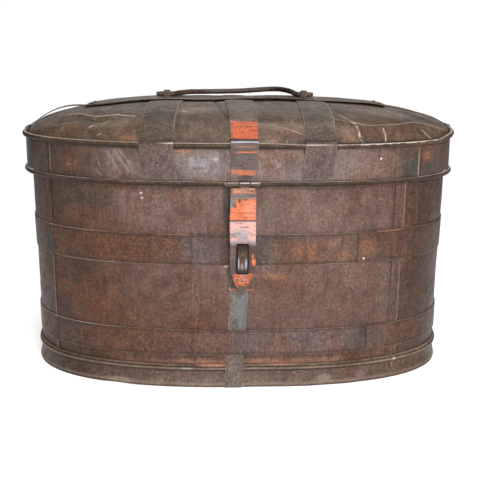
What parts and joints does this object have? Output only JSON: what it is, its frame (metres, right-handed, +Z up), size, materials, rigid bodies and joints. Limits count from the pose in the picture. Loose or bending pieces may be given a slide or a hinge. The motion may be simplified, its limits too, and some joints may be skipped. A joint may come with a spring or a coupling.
{
  "type": "metal case",
  "caption": "Oval sheet-metal case with a domed hinged lid, banded walls, a hasp over a staple at the front and a bail handle on the ridge.",
  "frame": {"origin": "middle of the oval base, on the surface that the case stands on", "axes": "+X along the case to the right as seen from the hasp side, +Y from the hasp side to the hinge side, +Z up"},
  "size_m": [0.5626, 0.3616, 0.3549],
  "materials": {
    "rusted_sheet": "worn brown japanning over rusted sheet steel",
    "lid_sheet": "worn olive-brown japanning over dented sheet steel",
    "band_sheet": "rusted brown sheet steel band",
    "strap_steel": "worn brown strap steel with bright edges",
    "chipped_paint": "chipped orange-red paint over brown strap steel",
    "dark_steel": "dark smooth worn forged steel"
  },
  "bodies": {
    "case": {"wall_front_left": "rusted_sheet", "wall_front_right": "rusted_sheet", "wall_right_end": "rusted_sheet", "wall_left_end": "rusted_sheet", "seam_left": "rusted_sheet", "seam_front": "rusted_sheet", "seam_right": "rusted_sheet", "seam_back": "rusted_sheet", "upper_band": "band_sheet", "upper_band_lap": "band_sheet", "lower_band": "band_sheet", "lower_band_lap": "band_sheet", "base_skirt": "rusted_sheet", "foot_ring": "rusted_sheet", "base_bead": "rusted_sheet", "bottom_plate": "lid_sheet", "body_rim_wire": "dark_steel", "front_strap": "strap_steel", "staple_plate": "strap_steel", "staple": "dark_steel", "hinge_leaf_left": "strap_steel", "hinge_leaf_right": "strap_steel", "hinge_pin_left": "dark_steel", "hinge_pin_right": "dark_steel", "hinge_rivet_left_lower": "dark_steel", "hinge_rivet_left_upper": "dark_steel", "hinge_rivet_right_lower": "dark_steel", "hinge_rivet_right_upper": "dark_steel"},
    "lid": {"dome_left_end": "lid_sheet", "dome_middle_left": "lid_sheet", "dome_middle_right": "lid_sheet", "dome_right_end": "lid_sheet", "lid_skirt_back": "rusted_sheet", "lid_skirt_front": "rusted_sheet", "lid_rim": "lid_sheet", "lid_bead": "lid_sheet", "lid_strap_left": "strap_steel", "lid_strap_right": "strap_steel", "lid_strap_centre": "chipped_paint", "hasp_pin": "dark_steel", "strap_rivet_left_front": "dark_steel", "strap_rivet_left_back": "dark_steel", "strap_rivet_centre_front": "dark_steel", "strap_rivet_centre_back": "dark_steel", "strap_rivet_right_front": "dark_steel", "strap_rivet_right_back": "dark_steel", "ridge_plate": "lid_sheet", "ridge_strap_left": "strap_steel", "ridge_strap_right": "strap_steel", "ridge_rivet_left_front": "dark_steel", "ridge_rivet_left_back": "dark_steel", "ridge_rivet_right_front": "dark_steel", "ridge_rivet_right_back": "dark_steel", "handle_eye_left": "dark_steel", "handle_eye_right": "dark_steel"},
    "hasp": {"hasp": "chipped_paint"},
    "handle": {"handle": "dark_steel"}
  },
  "joints": [
    {"name": "lid_hinge", "type": "hinge", "parent": "case", "child": "lid", "pos_m": [0, 0.1766, 0.2536], "axis": [-1, 0, 0], "range_deg": [0, 105]},
    {"name": "hasp_hinge", "type": "hinge", "parent": "lid", "child": "hasp", "pos_m": [0, -0.1697, 0.2536], "axis": [-1, 0, 0], "range_deg": [0, 120]},
    {"name": "handle_hinge", "type": "hinge", "parent": "lid", "child": "handle", "pos_m": [0, 0, 0.34422], "axis": [1, 0, 0], "range_deg": [0, 150]}
  ]
}
